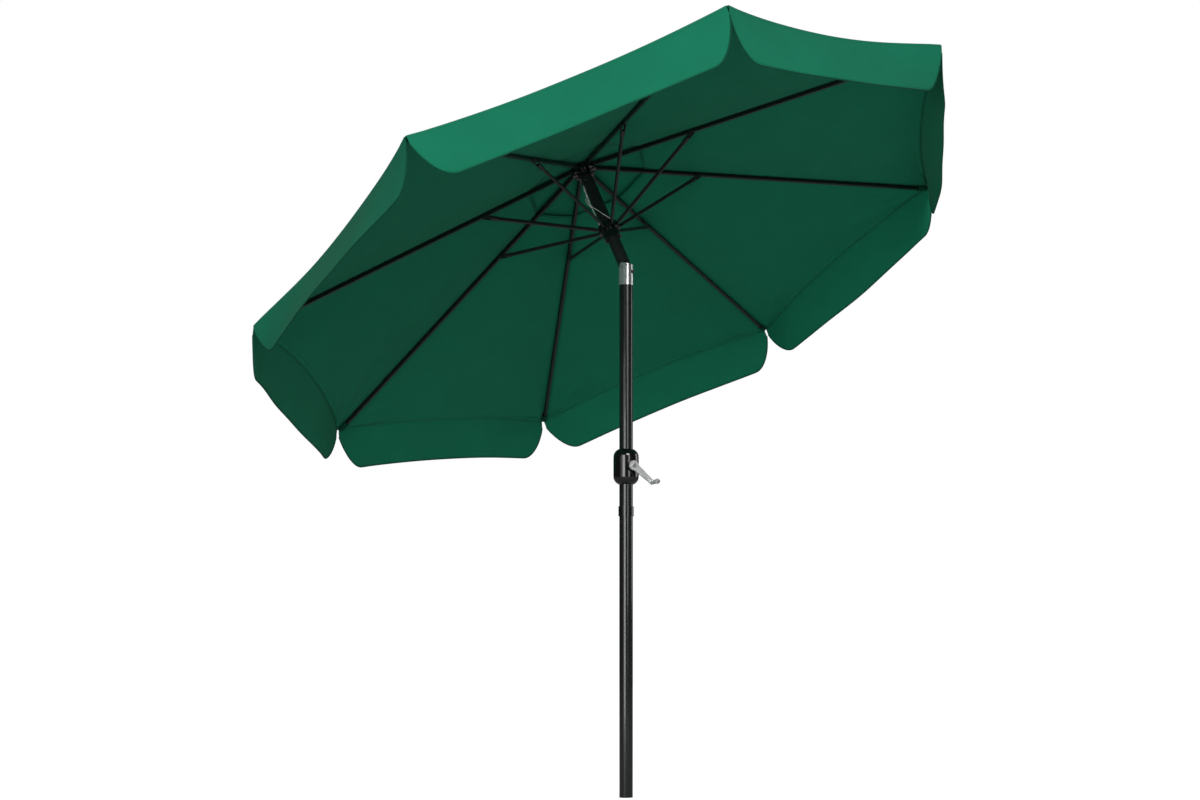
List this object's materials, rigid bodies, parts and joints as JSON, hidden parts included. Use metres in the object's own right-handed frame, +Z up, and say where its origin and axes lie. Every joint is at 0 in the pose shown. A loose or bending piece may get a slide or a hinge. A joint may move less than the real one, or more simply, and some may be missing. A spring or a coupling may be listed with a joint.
{
  "type": "tilting patio umbrella",
  "caption": "Garden umbrella on a jointed pole, with crank lift, push-button tilt and a valanced green canopy; shown open and tilted, without a base.",
  "frame": {"origin": "centre of the lower pole's bottom end", "axes": "+Z up the pole, the canopy leans towards -X, +Y along the tilt pin"},
  "size_m": [2.3634, 2.65, 2.5329],
  "materials": {
    "pole_paint": "smooth dark charcoal powder coat, satin gloss",
    "frame_paint": "black powder coat",
    "black_gloss": "glossy moulded black",
    "black_matte": "moulded black, fine texture",
    "bright": "bright plated",
    "steel": "zinc plated steel",
    "crank_cast": "die-cast, lightly polished",
    "cloth": "green woven polyester",
    "cord": "white braided cord"
  },
  "bodies": {
    "base": {"lower_pole": "pole_paint", "foot_plug": "black_matte", "joint_collar": "black_matte"},
    "upper_pole": {"upper_pole": "pole_paint", "pole_spigot": "steel", "crank_housing_front": "black_gloss", "crank_housing_rear": "black_gloss", "housing_screws": "steel", "brake_spring": "steel", "cord_in_pole": "cord", "tilt_sleeve": "bright", "tilt_fork": "frame_paint", "tilt_pin": "steel", "button_spring": "steel"},
    "crank": {"crank_axle": "steel", "cord_drum": "black_matte", "crank_arm": "crank_cast", "crank_nut": "steel", "grip_pin": "steel"},
    "crank_grip": {"crank_grip": "crank_cast"},
    "tilt_button": {"tilt_button": "black_matte"},
    "mast": {"mast_tube": "frame_paint", "tilt_insert": "frame_paint", "top_hub": "black_gloss", "hub_pins": "steel", "pulley_pin": "steel", "finial_stud": "steel", "canopy_washer": "black_matte", "finial": "black_gloss", "cord_in_mast": "cord", "lift_cord": "cord"},
    "hub_pulley": {"hub_pulley": "black_matte"},
    "runner": {"runner": "black_gloss", "runner_pins": "steel"},
    "rib_1": {"rib_1": "frame_paint"},
    "rib_2": {"rib_2": "frame_paint"},
    "rib_3": {"rib_3": "frame_paint"},
    "rib_4": {"rib_4": "frame_paint"},
    "rib_5": {"rib_5": "frame_paint"},
    "rib_6": {"rib_6": "frame_paint"},
    "rib_7": {"rib_7": "frame_paint"},
    "rib_8": {"rib_8": "frame_paint"},
    "strut_1": {"strut_1": "frame_paint"},
    "strut_2": {"strut_2": "frame_paint"},
    "strut_3": {"strut_3": "frame_paint"},
    "strut_4": {"strut_4": "frame_paint"},
    "strut_5": {"strut_5": "frame_paint"},
    "strut_6": {"strut_6": "frame_paint"},
    "strut_7": {"strut_7": "frame_paint"},
    "strut_8": {"strut_8": "frame_paint"},
    "panel_1": {"canopy_panel_1": "cloth"},
    "panel_2": {"canopy_panel_2": "cloth"},
    "panel_3": {"canopy_panel_3": "cloth"},
    "panel_4": {"canopy_panel_4": "cloth"},
    "panel_5": {"canopy_panel_5": "cloth"},
    "panel_6": {"canopy_panel_6": "cloth"},
    "panel_7": {"canopy_panel_7": "cloth"},
    "panel_8": {"canopy_panel_8": "cloth"}
  },
  "joints": [
    {"name": "pole_lift", "type": "slide", "parent": "base", "child": "upper_pole", "axis": [0, 0, 1], "range_m": [0, 0.16]},
    {"name": "crank_spin", "type": "hinge", "parent": "upper_pole", "child": "crank", "pos_m": [0, 0, 1.175], "axis": [0.8517, -0.524, 0], "range_deg": [0, 460]},
    {"name": "grip_spin", "type": "hinge", "parent": "crank", "child": "crank_grip", "pos_m": [0.09779, 0.02346, 1.11835], "axis": [0.8517, -0.524, 0], "continuous": true},
    {"name": "button_press", "type": "slide", "parent": "upper_pole", "child": "tilt_button", "axis": [-1, 0, 0], "range_m": [0, 0.003], "stiffness_N_per_m": 600, "springref_m": -0.003, "deforming": ["button_spring"]},
    {"name": "tilt", "type": "hinge", "parent": "upper_pole", "child": "mast", "pos_m": [0, 0, 1.881], "axis": [0, 1, 0], "range_deg": [0, 26.4]},
    {"name": "pulley_spin", "type": "hinge", "parent": "mast", "child": "hub_pulley", "pos_m": [-0.17228, -0.0087, 2.20633], "axis": [0.5993, -0.7431, 0.2975], "range_deg": [0, 640]},
    {"name": "runner_slide", "type": "slide", "parent": "mast", "child": "runner", "axis": [0.4446, 0, -0.8957], "range_m": [0, 0.1], "deforming": ["canopy_panel_1", "canopy_panel_2", "canopy_panel_3", "canopy_panel_4", "canopy_panel_5", "canopy_panel_6", "canopy_panel_7", "canopy_panel_8", "lift_cord"]},
    {"name": "rib_1_fold", "type": "hinge", "parent": "mast", "child": "rib_1", "pos_m": [-0.15253, 0.00476, 2.27307], "axis": [-0.1123, 0.9921, -0.0557], "range_deg": [0, 8.1]},
    {"name": "rib_2_fold", "type": "hinge", "parent": "mast", "child": "rib_2", "pos_m": [-0.16544, 0.03003, 2.26666], "axis": [-0.7078, 0.6129, -0.3513], "range_deg": [0, 8.1]},
    {"name": "rib_3_fold", "type": "hinge", "parent": "mast", "child": "rib_3", "pos_m": [-0.19057, 0.0377, 2.25419], "axis": [-0.8886, -0.1253, -0.4411], "range_deg": [0, 8.1]},
    {"name": "rib_4_fold", "type": "hinge", "parent": "mast", "child": "rib_4", "pos_m": [-0.2132, 0.02329, 2.24295], "axis": [-0.549, -0.7902, -0.2725], "range_deg": [0, 8.1]},
    {"name": "rib_5_fold", "type": "hinge", "parent": "mast", "child": "rib_5", "pos_m": [-0.22007, -0.00476, 2.23954], "axis": [0.1123, -0.9921, 0.0557], "range_deg": [0, 8.1]},
    {"name": "rib_6_fold", "type": "hinge", "parent": "mast", "child": "rib_6", "pos_m": [-0.20716, -0.03003, 2.24595], "axis": [0.7078, -0.6129, 0.3513], "range_deg": [0, 8.1]},
    {"name": "rib_7_fold", "type": "hinge", "parent": "mast", "child": "rib_7", "pos_m": [-0.18204, -0.0377, 2.25842], "axis": [0.8886, 0.1253, 0.4411], "range_deg": [0, 8.1]},
    {"name": "rib_8_fold", "type": "hinge", "parent": "mast", "child": "rib_8", "pos_m": [-0.15941, -0.02329, 2.26965], "axis": [0.549, 0.7902, 0.2725], "range_deg": [0, 8.1]},
    {"name": "strut_1_fold", "type": "hinge", "parent": "runner", "child": "strut_1", "pos_m": [-0.0436, 0.00426, 2.04469], "axis": [0.1123, -0.9921, 0.0557], "range_deg": [0, 6.95]},
    {"name": "strut_2_fold", "type": "hinge", "parent": "runner", "child": "strut_2", "pos_m": [-0.05514, 0.02686, 2.03895], "axis": [0.7078, -0.6129, 0.3513], "range_deg": [0, 6.95]},
    {"name": "strut_3_fold", "type": "hinge", "parent": "runner", "child": "strut_3", "pos_m": [-0.07763, 0.03373, 2.02779], "axis": [0.8886, 0.1253, 0.4411], "range_deg": [0, 6.95]},
    {"name": "strut_4_fold", "type": "hinge", "parent": "runner", "child": "strut_4", "pos_m": [-0.09787, 0.02084, 2.01774], "axis": [0.549, 0.7902, 0.2725], "range_deg": [0, 6.95]},
    {"name": "strut_5_fold", "type": "hinge", "parent": "runner", "child": "strut_5", "pos_m": [-0.10402, -0.00426, 2.01469], "axis": [-0.1123, 0.9921, -0.0557], "range_deg": [0, 6.95]},
    {"name": "strut_6_fold", "type": "hinge", "parent": "runner", "child": "strut_6", "pos_m": [-0.09248, -0.02686, 2.02042], "axis": [-0.7078, 0.6129, -0.3513], "range_deg": [0, 6.95]},
    {"name": "strut_7_fold", "type": "hinge", "parent": "runner", "child": "strut_7", "pos_m": [-0.06999, -0.03373, 2.03158], "axis": [-0.8886, -0.1253, -0.4411], "range_deg": [0, 6.95]},
    {"name": "strut_8_fold", "type": "hinge", "parent": "runner", "child": "strut_8", "pos_m": [-0.04975, -0.02084, 2.04163], "axis": [-0.549, -0.7902, -0.2725], "range_deg": [0, 6.95]},
    {"name": "panel_1_fold", "type": "hinge", "parent": "mast", "child": "panel_1", "pos_m": [-0.16065, 0.01863, 2.27808], "axis": [-0.4438, 0.8686, -0.2203], "range_deg": [0, 8.6]},
    {"name": "panel_2_fold", "type": "hinge", "parent": "mast", "child": "panel_2", "pos_m": [-0.18102, 0.03627, 2.26797], "axis": [-0.864, 0.2639, -0.4289], "range_deg": [0, 8.6]},
    {"name": "panel_3_fold", "type": "hinge", "parent": "mast", "child": "panel_3", "pos_m": [-0.20659, 0.03266, 2.25528], "axis": [-0.778, -0.4955, -0.3862], "range_deg": [0, 8.6]},
    {"name": "panel_4_fold", "type": "hinge", "parent": "mast", "child": "panel_4", "pos_m": [-0.22239, 0.00992, 2.24743], "axis": [-0.2364, -0.9646, -0.1173], "range_deg": [0, 8.6]},
    {"name": "panel_5_fold", "type": "hinge", "parent": "mast", "child": "panel_5", "pos_m": [-0.21916, -0.01863, 2.24904], "axis": [0.4438, -0.8686, 0.2203], "range_deg": [0, 8.6]},
    {"name": "panel_6_fold", "type": "hinge", "parent": "mast", "child": "panel_6", "pos_m": [-0.19879, -0.03627, 2.25915], "axis": [0.864, -0.2639, 0.4289], "range_deg": [0, 8.6]},
    {"name": "panel_7_fold", "type": "hinge", "parent": "mast", "child": "panel_7", "pos_m": [-0.17322, -0.03266, 2.27184], "axis": [0.778, 0.4955, 0.3862], "range_deg": [0, 8.6]},
    {"name": "panel_8_fold", "type": "hinge", "parent": "mast", "child": "panel_8", "pos_m": [-0.15742, -0.00992, 2.27968], "axis": [0.2364, 0.9646, 0.1173], "range_deg": [0, 8.6]}
  ],
  "couplings": [
    {"joint": "crank_spin", "follows": "runner_slide", "rad_per_m": 80},
    {"joint": "pulley_spin", "follows": "runner_slide", "rad_per_m": 111.1},
    {"joint": "rib_1_fold", "follows": "runner_slide", "rad_per_m": 1.408},
    {"joint": "rib_2_fold", "follows": "runner_slide", "rad_per_m": 1.408},
    {"joint": "rib_3_fold", "follows": "runner_slide", "rad_per_m": 1.408},
    {"joint": "rib_4_fold", "follows": "runner_slide", "rad_per_m": 1.408},
    {"joint": "rib_5_fold", "follows": "runner_slide", "rad_per_m": 1.408},
    {"joint": "rib_6_fold", "follows": "runner_slide", "rad_per_m": 1.408},
    {"joint": "rib_7_fold", "follows": "runner_slide", "rad_per_m": 1.408},
    {"joint": "rib_8_fold", "follows": "runner_slide", "rad_per_m": 1.408},
    {"joint": "strut_1_fold", "follows": "runner_slide", "rad_per_m": 1.1993},
    {"joint": "strut_2_fold", "follows": "runner_slide", "rad_per_m": 1.1993},
    {"joint": "strut_3_fold", "follows": "runner_slide", "rad_per_m": 1.1993},
    {"joint": "strut_4_fold", "follows": "runner_slide", "rad_per_m": 1.1993},
    {"joint": "strut_5_fold", "follows": "runner_slide", "rad_per_m": 1.1993},
    {"joint": "strut_6_fold", "follows": "runner_slide", "rad_per_m": 1.1993},
    {"joint": "strut_7_fold", "follows": "runner_slide", "rad_per_m": 1.1993},
    {"joint": "strut_8_fold", "follows": "runner_slide", "rad_per_m": 1.1993},
    {"joint": "panel_1_fold", "follows": "runner_slide", "rad_per_m": 1.4955},
    {"joint": "panel_2_fold", "follows": "runner_slide", "rad_per_m": 1.4955},
    {"joint": "panel_3_fold", "follows": "runner_slide", "rad_per_m": 1.4955},
    {"joint": "panel_4_fold", "follows": "runner_slide", "rad_per_m": 1.4955},
    {"joint": "panel_5_fold", "follows": "runner_slide", "rad_per_m": 1.4955},
    {"joint": "panel_6_fold", "follows": "runner_slide", "rad_per_m": 1.4955},
    {"joint": "panel_7_fold", "follows": "runner_slide", "rad_per_m": 1.4955},
    {"joint": "panel_8_fold", "follows": "runner_slide", "rad_per_m": 1.4955}
  ]
}
